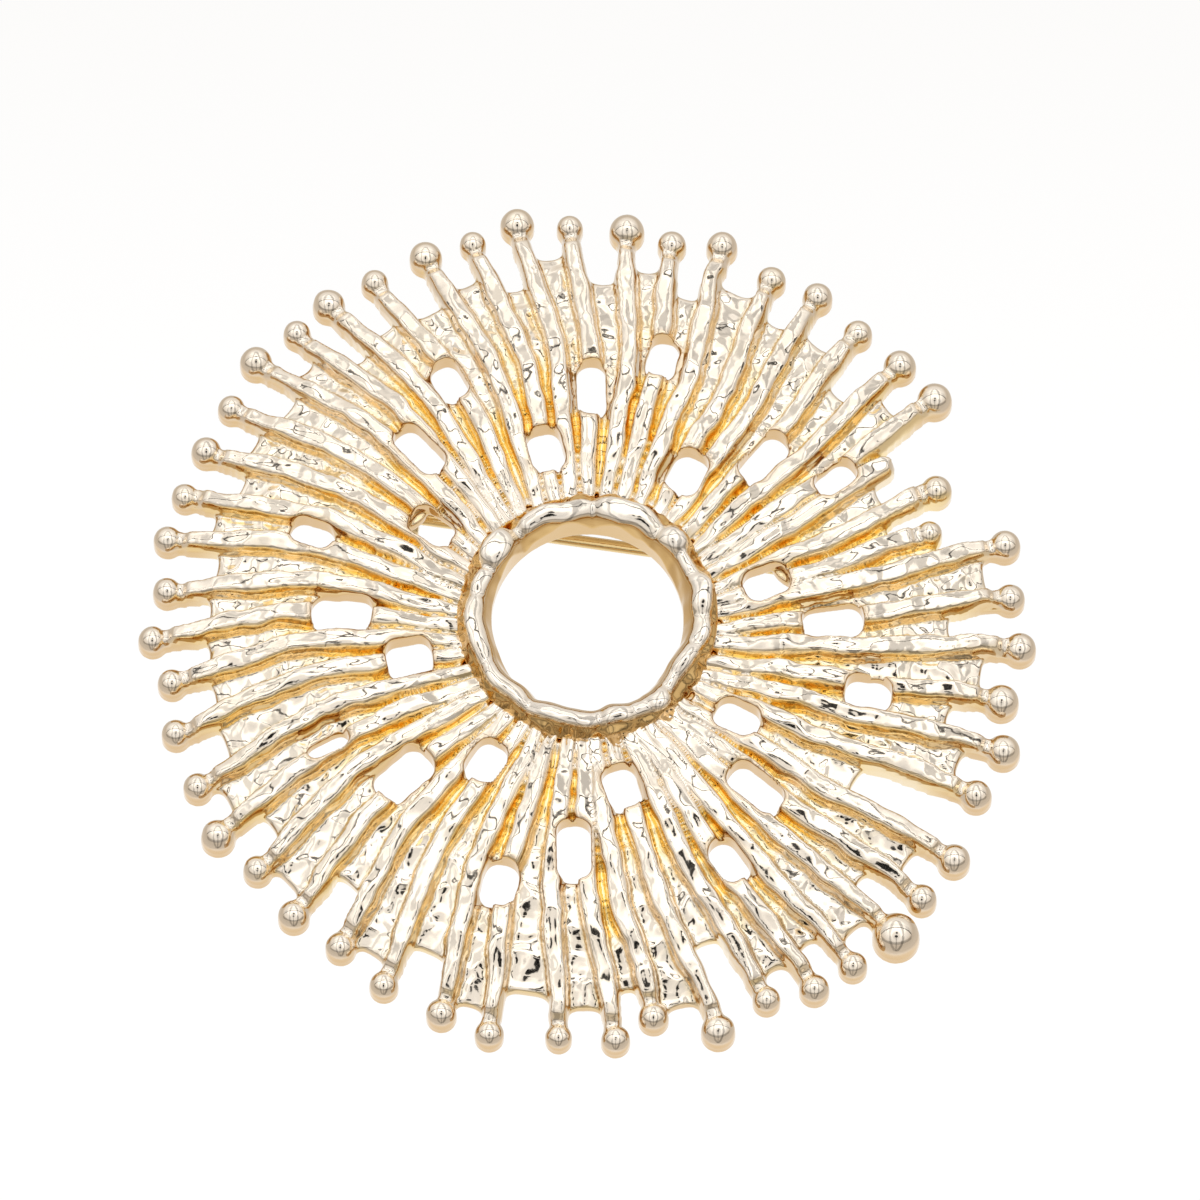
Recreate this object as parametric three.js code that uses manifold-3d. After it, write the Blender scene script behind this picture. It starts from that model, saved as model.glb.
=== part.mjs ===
// A cast sunburst brooch: a domed web with 51 ball-ended rays and 24 windows, a lobed collar soldered
// into its centre, and a pin fitting on the back made of a hinge, a wire stem and a locking catch.
//
// Everything is first laid out in the face frame, in millimetres: x to the right, y up, and h (height)
// towards the viewer, with h = 0 on the cloth that the ray tips lie on. The last lines stand the brooch
// upright as it is worn: the face looks along -Y, the back along +Y, and +Z is up.

import * as THREE from 'three';
import { mergeVertices } from 'three/addons/utils/BufferGeometryUtils.js';
import Module from 'manifold-3d';

const wasm = await Module();
wasm.setup();

// ---------------------------------------------------------------- driving dimensions

const TIP_LEVEL = 1.5;            // height of the web's front at the ray tips
const CROWN_LEVEL = 4.4;          // height of the web's front where it meets the collar
const DOME_START = 8;             // radius where the dome begins to fall
const DOME_REACH = 26;            // radial distance over which it falls to the tips
const DOME_POWER = 2.4;           // how late the fall comes
const WEB_THICKNESS = 1.4;

const RAY_WIDTH = 1.6;
const CREST_WIDTH = 0.9;
const CREST_RISE = 1.1;           // a ray's crest above the web's front
const ROOT_RISE = 0.5;            // the same at the collar, where the rays begin low
const RAY_KNOTS = [15.3, 22.3];     // radii where a ray bends between the collar and the web's edge
const BALL_RISE = 0.35;           // a ball's centre above the web's front
const BALL_DRAFT = 1.08;          // how much wider a ball's skirt is at the back
const SWIRL = 3.5;                // degrees that every ray turns on its way out
const SWIRL_SHARE = 0.6;          // the outer share of a ray's length, over which it does so
const LEAN = 6.5;                 // further turn of the rays on the right, taken off those on the left
const LEAN_POWER = 3.6;           // how near the collar that turn is made

const CENTRE_HOLE = 10.55;        // radius of the hole that the collar sits in
const COLLAR_BORE = 7.7;          // the bore's radius at the back, from where it widens to the lip
const COLLAR_OUTER = 10.2;
const LIP_INNER = 8.3;
const LIP_OUTER = 9.9;
const COLLAR_BACK = 2.7;          // height of the collar's flat back
const COLLAR_LIP = 6.8;           // height of the collar's lip
const COLLAR_LOBES = 13;
const COLLAR_LOBE_DEPTH = 0.28;
const LIP_ROUNDING = 0.45;

const SOLDER_GAP = 0.03;          // left between two pieces that are soldered face to face
const PIN_LINE = 8.2;             // how far above the centre the pin runs
const PIN_HEIGHT = -0.7;          // height of the pin's axis
const HINGE_X = 16.2;
const CATCH_X = -16.6;
const BOSS_LEVEL = 2.3;           // height of the flat bosses on the web's back
const BOSS_RADIUS = 2.7;
const PATCH_RADIUS = 2.5;
const PATCH_THICKNESS = 0.5;

const WIRE_RADIUS = 0.5;
const POINT_RADIUS = 0.12;
const POINT_LENGTH = 3.2;
const POINT_OVERHANG = 2.6;       // how far the wire's point passes the middle of the catch
const EYE_RADIUS = 1.2;
const EYE_THICKNESS = 0.9;
const EYE_BORE = 0.5;
const RIVET_RADIUS = 0.42;
const RIVET_HEAD_RADIUS = 0.75;
const RIVET_HEAD_THICKNESS = 0.35;
const EAR_GAP = 1.1;              // between the hinge's two ears
const EAR_THICKNESS = 0.5;
const EAR_RADIUS = 1.3;
const BRACKET_BASE = 0.4;

const BARREL_OUTER = 1.6;
const BARREL_BORE = 1.25;
const BARREL_LENGTH = 2;
const ROTOR_OUTER = 1.15;
const ROTOR_BORE = 0.65;
const THROAT_HALF_ANGLE = 60;     // degrees either side of straight back
const FLANGE_LENGTH = 0.7;
const FLANGE_GAP = 0.1;
const TAB_ANGLE = -75;            // degrees from straight back, towards the top
const TAB_REACH = 2.9;
const TAB_THICKNESS = 0.6;

// Each row is one ray: bearing of its tip in degrees, distance of its ball's centre, the ball's diameter, and
// the radius at which the web ends between this ray and the next.
const RAYS = [
  [5.8, 34.6, 2.7, 29.0], [12.8, 33.9, 2.5, 32.2], [20.5, 34.2, 2.6, 28.5], [24.0, 28.4, 2.2, 25.2],
  [30.7, 30.2, 2.6, 25.8], [37.5, 27.2, 1.9, 28.2], [43.5, 34.1, 2.9, 30.6], [50.2, 33.7, 2.7, 28.2],
  [57.6, 33.3, 2.4, 30.5], [65.3, 33.9, 2.5, 30.0], [72.0, 33.3, 2.4, 31.2], [80.2, 34.6, 2.6, 29.3],
  [86.8, 33.6, 2.4, 31.0], [93.2, 34.3, 2.9, 29.6], [100.9, 34.5, 2.2, 32.0], [107.8, 35.3, 2.8, 29.5],
  [114.2, 34.3, 2.2, 31.0], [120.8, 34.5, 2.7, 29.8], [128.6, 34.3, 2.3, 30.2], [135.4, 34.8, 2.7, 29.2],
  [141.3, 34.5, 2.3, 31.7], [147.9, 35.2, 2.7, 30.5], [155.2, 34.3, 2.3, 31.1], [162.2, 34.2, 2.5, 30.3],
  [169.3, 34.2, 2.3, 31.3], [175.8, 34.5, 2.4, 30.2], [183.2, 33.8, 2.4, 30.3], [190.0, 34.8, 2.4, 30.4],
  [196.5, 33.5, 2.4, 30.4], [203.7, 34.0, 2.4, 30.6], [211.9, 33.8, 2.4, 32.2], [219.3, 34.2, 2.8, 30.3],
  [226.4, 33.2, 2.4, 32.1], [234.6, 33.6, 2.6, 28.9], [242.4, 33.2, 2.5, 32.3], [250.2, 34.0, 2.4, 30.2],
  [258.8, 34.3, 2.5, 33.0], [265.6, 34.8, 2.4, 31.1], [274.7, 34.3, 2.2, 32.0], [282.2, 34.5, 2.4, 30.7],
  [287.6, 33.1, 2.5, 32.6], [295.6, 35.2, 2.8, 28.4], [303.0, 34.2, 2.3, 32.3], [309.3, 35.1, 2.5, 31.8],
  [315.2, 35.2, 2.4, 33.0], [322.1, 35.5, 3.8, 30.4], [328.0, 34.9, 2.5, 32.2], [334.8, 35.0, 2.7, 25.2],
  [344.0, 34.0, 2.6, 31.8], [351.2, 34.7, 2.8, 29.8], [357.8, 33.6, 2.9, 31.8],
];

// The windows stand in three rows of eight, and run along the rays. Each has a bearing and a width.
const WINDOW_ROWS = [
  {
    radius: 14.6,
    length: 3.7,
    windows: [
      [19.8, 2.7], [65.5, 2.9], [111.7, 2.8], [157, 2.6],
      [202, 3], [245, 2.7], [289.3, 2.8], [333, 2.7],
    ],
  },
  {
    radius: 19.6,
    length: 4.9,
    windows: [
      [8, 2.6], [52.5, 2.4], [97.6, 2.3], [141.9, 2.4],
      [187, 2.9], [230.3, 3], [275.4, 2.7], [321.4, 2.6],
    ],
  },
  {
    radius: 23.2,
    length: 3.7,
    windows: [
      [39.6, 2.3], [83.5, 2.4], [127, 2.4], [170.2, 2.2],
      [215.8, 1.5], [261, 2.8], [307.4, 2.5], [353.2, 2.6],
    ],
  },
];

// ---------------------------------------------------------------- helpers

const radians = THREE.MathUtils.degToRad;
const degrees = THREE.MathUtils.radToDeg;
const RIGHT = new THREE.Vector3(1, 0, 0);
const UP = new THREE.Vector3(0, 1, 0);
const REARWARD = new THREE.Vector3(0, 0, -1);

function webFront(radius) {
  const fall = Math.max(0, (radius - DOME_START) / DOME_REACH) ** DOME_POWER;
  return CROWN_LEVEL - (CROWN_LEVEL - TIP_LEVEL) * fall;
}

function place(radius, bearing, height) {
  const angle = radians(bearing);
  return new THREE.Vector3(radius * Math.cos(angle), radius * Math.sin(angle), height);
}

function toSolid(geometry) {
  const bare = geometry.index ? geometry.toNonIndexed() : geometry.clone();
  bare.deleteAttribute('normal');
  bare.deleteAttribute('uv');
  const merged = mergeVertices(bare, 1e-4);
  return new wasm.Manifold(new wasm.Mesh({
    numProp: 3,
    vertProperties: new Float32Array(merged.attributes.position.array),
    triVerts: new Uint32Array(merged.index.array),
  }));
}

function toGeometry(solid) {
  const mesh = solid.getMesh();
  const geometry = new THREE.BufferGeometry();
  geometry.setAttribute('position', new THREE.BufferAttribute(mesh.vertProperties, 3));
  geometry.setIndex(new THREE.BufferAttribute(mesh.triVerts, 1));
  return geometry;
}

function joined(...geometries) {
  return geometries.map(toSolid).reduce((whole, next) => whole.add(next));
}

function cut(solid, ...cutters) {
  return cutters.map(toSolid).reduce((whole, next) => whole.subtract(next), solid);
}

// An outline extruded to a plate that is centred on its own plane, and turned so that the outline's x and y
// run along two directions of the face frame.
function plate(outline, thickness, alongX, alongY) {
  const shape = { depth: thickness, bevelEnabled: false, curveSegments: 8 };
  const geometry = new THREE.ExtrudeGeometry(outline, shape);
  geometry.translate(0, 0, -thickness / 2);
  const through = new THREE.Vector3().crossVectors(alongX, alongY);
  return geometry.applyMatrix4(new THREE.Matrix4().makeBasis(alongX, alongY, through));
}

// A closed profile of [radius, height] pairs turned round the h axis.
function turned(profile, segments) {
  const points = [...profile, profile[0]].map(([radius, height]) => new THREE.Vector2(radius, height));
  return new THREE.LatheGeometry(points, segments).rotateX(Math.PI / 2);
}

// ---------------------------------------------------------------- sunburst casting

// The bearing of a ray's centre line at a radius: it swings towards the tip's bearing on its way out.
function rayBearing([tipBearing, reach], radius) {
  const inward = (reach - radius) / (reach - CENTRE_HOLE);
  const swirl = SWIRL * THREE.MathUtils.smoothstep(inward, 0, SWIRL_SHARE);
  const lean = LEAN * Math.cos(radians(tipBearing)) * inward ** LEAN_POWER;
  return tipBearing - swirl - lean;
}

// One length-wise line of points on a ray: sideways from its centre line, with its knots at the given
// radii, and with one rise above the web at the first knot and another from the second on.
function rayColumn(ray, sideways, rootRise, rise, knots) {
  const reach = ray[1];
  const front = [];
  const back = [];
  for (const radius of [...knots, reach]) {
    const pitch = (2 * Math.PI * radius) / RAYS.length;
    const offset = sideways * Math.min(RAY_WIDTH, pitch * 0.96);
    const bearing = rayBearing(ray, radius) + degrees(offset / radius);
    const level = webFront(radius);
    front.push(place(radius, bearing, level + (radius === knots[0] ? rootRise : rise)));
    back.push(place(radius, bearing, level - WEB_THICKNESS));
  }
  return { front, back };
}

// The web and its rays as one relief. Every ray is four lines of points, foot, crest, crest, foot, and the
// web fills in between one ray's foot and the next up to the radius where it ends.
function raysAndWeb() {
  const crest = CREST_WIDTH / RAY_WIDTH / 2;
  const inner = [CENTRE_HOLE, ...RAY_KNOTS];
  const columns = RAYS.flatMap((ray, i) => {
    const before = RAYS.at(i - 1)[3];
    const after = ray[3];
    const middle = (before + after) / 2;
    return [
      rayColumn(ray, -0.5, 0, 0, [...inner, Math.min(before, ray[1] - 0.5)]),
      rayColumn(ray, -crest, ROOT_RISE, CREST_RISE, [...inner, Math.min(middle, ray[1] - 0.5)]),
      rayColumn(ray, crest, ROOT_RISE, CREST_RISE, [...inner, Math.min(middle, ray[1] - 0.5)]),
      rayColumn(ray, 0.5, 0, 0, [...inner, Math.min(after, ray[1] - 0.5)]),
    ];
  });
  const last = inner.length + 1;
  const edge = inner.length;
  const corners = [];
  const quad = (a, b, c, d) => corners.push(a, b, c, a, c, d);

  columns.forEach((here, i) => {
    const next = columns[(i + 1) % columns.length];
    const webStrip = i % 4 === 3;
    const rows = webStrip ? edge : last;
    for (let row = 0; row < rows; row += 1) {
      quad(here.front[row], here.front[row + 1], next.front[row + 1], next.front[row]);
      quad(here.back[row], next.back[row], next.back[row + 1], here.back[row + 1]);
    }
    quad(here.front[0], next.front[0], next.back[0], here.back[0]);
    quad(here.front[rows], here.back[rows], next.back[rows], next.front[rows]);
    if (webStrip) {
      quad(here.front[edge], here.front[last], here.back[last], here.back[edge]);
      quad(next.front[edge], next.back[edge], next.back[last], next.front[last]);
    }
  });
  return new THREE.BufferGeometry().setFromPoints(corners);
}

// A ray's end: a ball in front whose sides are drawn straight back, a little wider towards the flat back.
function rayBall([bearing, reach, diameter]) {
  const radius = diameter / 2;
  const shoulder = radius * Math.SQRT1_2;
  const back = -WEB_THICKNESS - BALL_RISE - 0.1;
  const profile = [[0, radius], [0, back], [radius * BALL_DRAFT, back], [radius, 0], [shoulder, shoulder]];
  const ball = turned(profile, 6);
  const centre = place(reach, bearing, webFront(reach) + BALL_RISE);
  return ball.rotateZ(radians(bearing)).translate(centre.x, centre.y, centre.z);
}

// A window's cutter: a rectangle with clipped corners that follows the rays' slant.
function windowCutter(bearing, width, row) {
  const clip = Math.min(0.6, width / 3);
  const halfLength = row.length / 2;
  const halfWidth = width / 2;
  const outline = [
    [halfLength - clip, halfWidth], [clip - halfLength, halfWidth], [-halfLength, halfWidth - clip],
    [-halfLength, clip - halfWidth], [clip - halfLength, -halfWidth], [halfLength - clip, -halfWidth],
    [halfLength, clip - halfWidth], [halfLength, halfWidth - clip],
  ].map(([along, across]) => new THREE.Vector2(along, across));
  const slant = radians(bearing + SWIRL + LEAN * Math.cos(radians(bearing)));
  const centre = place(row.radius, bearing, CROWN_LEVEL - WEB_THICKNESS);
  const cutter = plate(new THREE.Shape(outline), 2 * CROWN_LEVEL, RIGHT, UP).rotateZ(slant);
  return cutter.translate(centre.x, centre.y, centre.z);
}

// A flat round boss on the web's back, which a patch of the pin fitting is soldered to.
function findingBoss(x) {
  const height = 1;
  const boss = new THREE.CylinderGeometry(BOSS_RADIUS, BOSS_RADIUS, height, 16).rotateX(Math.PI / 2);
  return boss.translate(x, PIN_LINE, BOSS_LEVEL + height / 2);
}

function sunburstCasting() {
  const windows = WINDOW_ROWS.flatMap((row) => (
    row.windows.map(([bearing, width]) => windowCutter(bearing, width, row))
  ));
  const solid = joined(raysAndWeb(), ...RAYS.map(rayBall), findingBoss(HINGE_X), findingBoss(CATCH_X));
  return toGeometry(cut(solid, ...windows));
}

// ---------------------------------------------------------------- collar

// A thick ring with a flat back and a narrow rounded lip, whose outer wall swells into lobes.
function collarRing() {
  const geometry = turned([
    [COLLAR_BORE, COLLAR_BACK],
    [COLLAR_OUTER, COLLAR_BACK],
    [COLLAR_OUTER, CROWN_LEVEL],
    [LIP_OUTER, COLLAR_LIP - LIP_ROUNDING],
    [LIP_OUTER - LIP_ROUNDING, COLLAR_LIP],
    [LIP_INNER + LIP_ROUNDING, COLLAR_LIP],
    [LIP_INNER, COLLAR_LIP - LIP_ROUNDING],
  ], 4 * COLLAR_LOBES);
  const middle = (COLLAR_BORE + COLLAR_OUTER) / 2;
  const position = geometry.attributes.position;
  for (let i = 0; i < position.count; i += 1) {
    const radius = Math.hypot(position.getX(i), position.getY(i));
    if (radius > middle) {
      const bearing = Math.atan2(position.getY(i), position.getX(i));
      const grown = 1 + (COLLAR_LOBE_DEPTH * Math.abs(Math.sin((bearing * COLLAR_LOBES) / 2))) / radius;
      position.setX(i, position.getX(i) * grown);
      position.setY(i, position.getY(i) * grown);
    }
  }
  return geometry;
}

// ---------------------------------------------------------------- pin fitting

const PATCH_LEVEL = BOSS_LEVEL - SOLDER_GAP - PATCH_THICKNESS;
const SEAT_LEVEL = PATCH_LEVEL - SOLDER_GAP;
const AXIS_DROP = SEAT_LEVEL - PIN_HEIGHT;

// The round disc that a hinge or catch is brazed to.
function solderPatch() {
  return new THREE.CylinderGeometry(PATCH_RADIUS, PATCH_RADIUS, PATCH_THICKNESS, 24).rotateX(Math.PI / 2);
}

// Everything on the pin line is drawn with the pin's axis as its origin.
function roundPin(radius, length, segments = 16) {
  return new THREE.CylinderGeometry(radius, radius, length, segments);
}

// A U of sheet metal: a base on the patch and two round-ended ears with the rivet's holes.
function hingeBracket() {
  const width = EAR_GAP + 2 * EAR_THICKNESS;
  const ear = new THREE.Shape();
  ear.moveTo(-EAR_RADIUS, -AXIS_DROP);
  ear.lineTo(EAR_RADIUS, -AXIS_DROP);
  ear.lineTo(EAR_RADIUS, 0);
  ear.absarc(0, 0, EAR_RADIUS, 0, Math.PI, false);
  const block = plate(ear, width, RIGHT, REARWARD);
  const deep = 2 * AXIS_DROP;
  const slot = new THREE.BoxGeometry(3 * EAR_RADIUS, EAR_GAP, deep);
  slot.translate(0, 0, AXIS_DROP - BRACKET_BASE - deep / 2);
  const hole = roundPin(RIVET_RADIUS + SOLDER_GAP, 2 * width);
  return toGeometry(cut(joined(block), slot, hole));
}

function hingeRivet() {
  const shank = roundPin(RIVET_RADIUS, EAR_GAP + 2 * EAR_THICKNESS + RIVET_HEAD_THICKNESS);
  const headPlace = EAR_GAP / 2 + EAR_THICKNESS + SOLDER_GAP + RIVET_HEAD_THICKNESS / 2;
  const heads = [-1, 1].map((side) => (
    roundPin(RIVET_HEAD_RADIUS, RIVET_HEAD_THICKNESS).translate(0, side * headPlace, 0)
  ));
  return toGeometry(joined(shank, ...heads));
}

// The stem is one wire: a flattened, pierced eye round the rivet, a long shank and a drawn point.
function pinStem() {
  const reach = HINGE_X - CATCH_X + POINT_OVERHANG;
  const wire = new THREE.LatheGeometry([
    new THREE.Vector2(0, 0),
    new THREE.Vector2(WIRE_RADIUS, 0),
    new THREE.Vector2(WIRE_RADIUS, reach - POINT_LENGTH),
    new THREE.Vector2(POINT_RADIUS, reach),
    new THREE.Vector2(0, reach),
  ], 12).rotateZ(Math.PI / 2);
  const eye = roundPin(EYE_RADIUS, EYE_THICKNESS, 20);
  return toGeometry(cut(joined(wire, eye), roundPin(EYE_BORE, 2 * EYE_THICKNESS)));
}

// A ring sector seen along the pin, open towards the back.
function openRing(outer, bore) {
  const from = radians(THROAT_HALF_ANGLE);
  const to = 2 * Math.PI - from;
  const outline = new THREE.Shape();
  outline.absarc(0, 0, outer, from, to, false);
  outline.absarc(0, 0, bore, to, from, true);
  return outline;
}

// The fixed barrel of the catch on its foot.
function catchBody() {
  const barrel = plate(openRing(BARREL_OUTER, BARREL_BORE), BARREL_LENGTH, REARWARD, UP);
  const wall = (BARREL_OUTER + BARREL_BORE) / 2;
  const foot = new THREE.BoxGeometry(BARREL_LENGTH, 2 * BARREL_BORE, AXIS_DROP - wall);
  foot.translate(0, 0, (AXIS_DROP + wall) / 2);
  const bore = roundPin(BARREL_BORE, 2 * BARREL_LENGTH, 24).rotateZ(Math.PI / 2);
  return toGeometry(cut(joined(barrel, foot), bore));
}

// The turning sleeve inside the barrel, with a flange past the barrel's end that carries the thumb tab.
function catchRotor() {
  const sleeveLength = BARREL_LENGTH + FLANGE_GAP + FLANGE_LENGTH;
  const sleeve = plate(openRing(ROTOR_OUTER, ROTOR_BORE), sleeveLength, REARWARD, UP);
  sleeve.translate((FLANGE_GAP + FLANGE_LENGTH) / 2, 0, 0);
  const flangePlace = BARREL_LENGTH / 2 + FLANGE_GAP + FLANGE_LENGTH / 2;
  const flange = plate(openRing(BARREL_OUTER, ROTOR_BORE), FLANGE_LENGTH, REARWARD, UP);
  flange.translate(flangePlace, 0, 0);
  const tab = new THREE.BoxGeometry(FLANGE_LENGTH, TAB_THICKNESS, TAB_REACH - ROTOR_OUTER);
  tab.translate(flangePlace, 0, -(TAB_REACH + ROTOR_OUTER) / 2).rotateX(radians(TAB_ANGLE));
  return toGeometry(joined(sleeve, flange, tab));
}

// ---------------------------------------------------------------- assembly

function gold(color, roughness) {
  return new THREE.MeshStandardMaterial({ color, roughness, metalness: 1 });
}

function piece(name, geometry, material, position = [0, 0, 0]) {
  const mesh = new THREE.Mesh(geometry, material);
  mesh.name = name;
  mesh.position.set(...position);
  return mesh;
}

const hingeAxis = [HINGE_X, PIN_LINE, PIN_HEIGHT];
const catchAxis = [CATCH_X, PIN_LINE, PIN_HEIGHT];
const patchCentre = PATCH_LEVEL + PATCH_THICKNESS / 2;

const face = new THREE.Group();
face.add(
  piece('sunburst_casting', sunburstCasting(), gold(0xe6d2b0, 0.22)),
  piece('collar_ring', collarRing(), gold(0xe9d8bd, 0.16)),
  piece('hinge_patch', solderPatch(), gold(0xdcc08c, 0.3), [HINGE_X, PIN_LINE, patchCentre]),
  piece('hinge_bracket', hingeBracket(), gold(0xdcc08c, 0.26), hingeAxis),
  piece('hinge_rivet', hingeRivet(), gold(0xd8bc88, 0.25), hingeAxis),
  piece('pin_stem', pinStem(), gold(0xe4cda0, 0.18), hingeAxis),
  piece('catch_patch', solderPatch(), gold(0xdcc08c, 0.3), [CATCH_X, PIN_LINE, patchCentre]),
  piece('catch_barrel', catchBody(), gold(0xdcc08c, 0.26), catchAxis),
  piece('catch_rotor', catchRotor(), gold(0xe0c692, 0.24), catchAxis),
);
face.rotation.x = Math.PI / 2;

const brooch = new THREE.Group();
brooch.add(face);
brooch.updateMatrixWorld(true);

export default brooch;
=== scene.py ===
"""The looks of a cast sunburst brooch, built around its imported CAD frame.

Shapes are worked out in the face frame, in millimetres: x to the right, y up, h towards the viewer, with
h = 0 on the cloth. The row frame is X = x, Y = -h, Z = y, in metres.
"""

import math

import bmesh
import bpy
import numpy as np
from mathutils import Matrix, Vector
from mathutils.bvhtree import BVHTree


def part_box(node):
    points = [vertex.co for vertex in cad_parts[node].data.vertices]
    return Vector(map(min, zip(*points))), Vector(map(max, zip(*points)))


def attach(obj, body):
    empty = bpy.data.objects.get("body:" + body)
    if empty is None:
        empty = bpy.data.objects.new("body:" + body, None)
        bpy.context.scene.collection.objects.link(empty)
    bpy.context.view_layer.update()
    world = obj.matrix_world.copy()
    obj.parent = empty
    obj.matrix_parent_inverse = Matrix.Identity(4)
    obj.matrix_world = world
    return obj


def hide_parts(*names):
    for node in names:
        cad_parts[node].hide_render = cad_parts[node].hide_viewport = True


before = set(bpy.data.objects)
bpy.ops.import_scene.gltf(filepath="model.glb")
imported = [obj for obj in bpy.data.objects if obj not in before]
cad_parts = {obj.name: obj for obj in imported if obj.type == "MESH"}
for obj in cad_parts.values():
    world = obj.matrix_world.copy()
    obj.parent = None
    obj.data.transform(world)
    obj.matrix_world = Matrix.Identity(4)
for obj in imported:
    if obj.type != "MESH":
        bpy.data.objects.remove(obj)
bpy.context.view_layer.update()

MM = 0.001

# ---------------------------------------------------------------- the casting's laws, as in its CAD source

TIP_LEVEL = 1.5
CROWN_LEVEL = 4.4
DOME_START, DOME_REACH, DOME_POWER = 8.0, 26.0, 2.4
WEB_THICKNESS = 1.4
SWIRL, SWIRL_SHARE = 3.5, 0.6
LEAN, LEAN_POWER = 6.5, 3.6
CENTRE_HOLE = 10.55
BALL_RISE = 0.35

# ---------------------------------------------------------------- where things are in the CAD casting

TIP_STANDS, TIP_FROM = 1.2, 25     # a point this far above the web's front and this far out is on a ray's tip
TIPS_APART = 1.6
LEAST_BEAD = 1.0                   # a tip of a smaller radius is a plain rounded end
CASTING_SPAN = (10, 36.5)          # radii between which the casting is looked for
WINDOW_SPAN = (11, 25.15)          # and between which a gap in it is a window
BOSS_RADIUS, BOSS_DEPTH = 2.7, 1.2
SOLDER_GAP = 0.03

# ---------------------------------------------------------------- fine shape
# Where a shape calls for noise, the factors on its two places say how fine it is, and the last number is its
# seed.

RAY_HALF_WIDTH = 0.98
STEM_HALF_WIDTH = 0.80
RAY_RISE = 1.2
RAY_REGION = 1.6                   # a ray is worked out this far to each side of its centre line
WEB_SET_BACK = 0.12
BEAD_MARGIN = 0.9                  # a bead is worked out this far round its ball
UNDER_COLLAR = 0.45                # the casting runs this far in past its hole, under the collar
CASTING_HEIGHTS = (-0.9, 6.3)
COLLAR_BORE, COLLAR_CREST = 7.7, 9.0
RIM_DROP, RIM_HALF_WIDTH = 0.95, 0.52    # the collar's rim between its lumps, below the lip, and how wide
LUMP_RISE, LUMP_STAND = 0.85, 0.15
CASTING_STEP = 0.16
COLLAR_STEP = 0.1
SECTORS = 6                        # the casting's mesh is shared out over this many pieces
FIELD_REACH = 37.6                 # half the side of the square that the casting is worked out in
SHOWN_SIDE = (0.5, -0.87)          # x, y of the way that the rays' wider flanks face; flanks facing this way also get painted reflection and painted wall shade
NOWHERE = -9.0                     # a height and an edge distance that are outside every ray
LOGISTIC_STEEPNESS = 1.702         # at which a logistic curve follows a Gaussian edge


def web_front(radius):
    fall = np.maximum(0, (radius - DOME_START) / DOME_REACH) ** DOME_POWER
    return CROWN_LEVEL - (CROWN_LEVEL - TIP_LEVEL) * fall


def smooth_min(a, b, k):
    """The lesser of two fields, rounded over a distance k where they meet."""
    t = np.clip(0.5 + 0.5 * (b - a) / k, 0, 1)
    return b + (a - b) * t - k * t * (1 - t)


def smooth_max(a, b, k):
    return -smooth_min(-a, -b, k)


def smooth_step(low, high, value):
    t = np.clip((value - low) / (high - low), 0, 1)
    return t * t * (3 - 2 * t)


def value_noise(u, v, seed):
    """Smooth noise from -1 to 1 with one random value for each unit square of u and v."""
    table = np.random.default_rng(seed).uniform(-1, 1, (256, 256)).astype(np.float32)
    iu, iv = np.floor(u).astype(int), np.floor(v).astype(int)
    fu, fv = u - iu, v - iv
    su, sv = fu * fu * (3 - 2 * fu), fv * fv * (3 - 2 * fv)
    here, right = table[iu % 256, iv % 256], table[(iu + 1) % 256, iv % 256]
    up, over = table[iu % 256, (iv + 1) % 256], table[(iu + 1) % 256, (iv + 1) % 256]
    return (here * (1 - su) + right * su) * (1 - sv) + (up * (1 - su) + over * su) * sv


def dents(u, v, seed):
    """Squared distance to the nearest of one jittered point for each unit square: bowls with sharp rims."""
    jitter = np.random.default_rng(seed).uniform(0.1, 0.9, (2, 128, 128)).astype(np.float32)
    iu, iv = np.floor(u).astype(int), np.floor(v).astype(int)
    nearest = np.full(u.shape, 9.0, np.float32)
    for du in (-1, 0, 1):
        for dv in (-1, 0, 1):
            cu, cv = iu + du, iv + dv
            pu = cu + jitter[0, cu % 128, cv % 128]
            pv = cv + jitter[1, cu % 128, cv % 128]
            nearest = np.minimum(nearest, (u - pu) ** 2 + (v - pv) ** 2)
    return nearest


def blurred(image, sigma):
    """Gaussian blur of a 2-D array, sigma in cells."""
    reach = int(3 * sigma) + 1
    kernel = np.exp(-0.5 * (np.arange(-reach, reach + 1) / sigma) ** 2)
    kernel /= kernel.sum()
    padded = np.pad(image, reach, mode="edge")
    rows = sum(w * padded[i:i + image.shape[0], :] for i, w in enumerate(kernel))
    return sum(w * rows[:, i:i + image.shape[1]] for i, w in enumerate(kernel)).astype(np.float32)


def edge_distance(mask, sigma, step):
    """Signed distance in mm, positive inside, from a mask's outline as a blur of sigma mm rounds it."""
    soft = np.clip(blurred(mask.astype(np.float32), sigma / step), 1e-4, 1 - 1e-4)
    return np.log(soft / (1 - soft)) * sigma / LOGISTIC_STEEPNESS


def lookup(image, origin, step, x, y):
    """Bilinear reading of a 2-D array at points in mm."""
    u = np.clip((x - origin) / step, 0, image.shape[0] - 1.001)
    v = np.clip((y - origin) / step, 0, image.shape[1] - 1.001)
    iu, iv = u.astype(int), v.astype(int)
    fu, fv = u - iu, v - iv
    low = image[iu, iv] * (1 - fu) + image[iu + 1, iv] * fu
    high = image[iu, iv + 1] * (1 - fu) + image[iu + 1, iv + 1] * fu
    return low * (1 - fv) + high * fv


# ---------------------------------------------------------------- meshing

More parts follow.
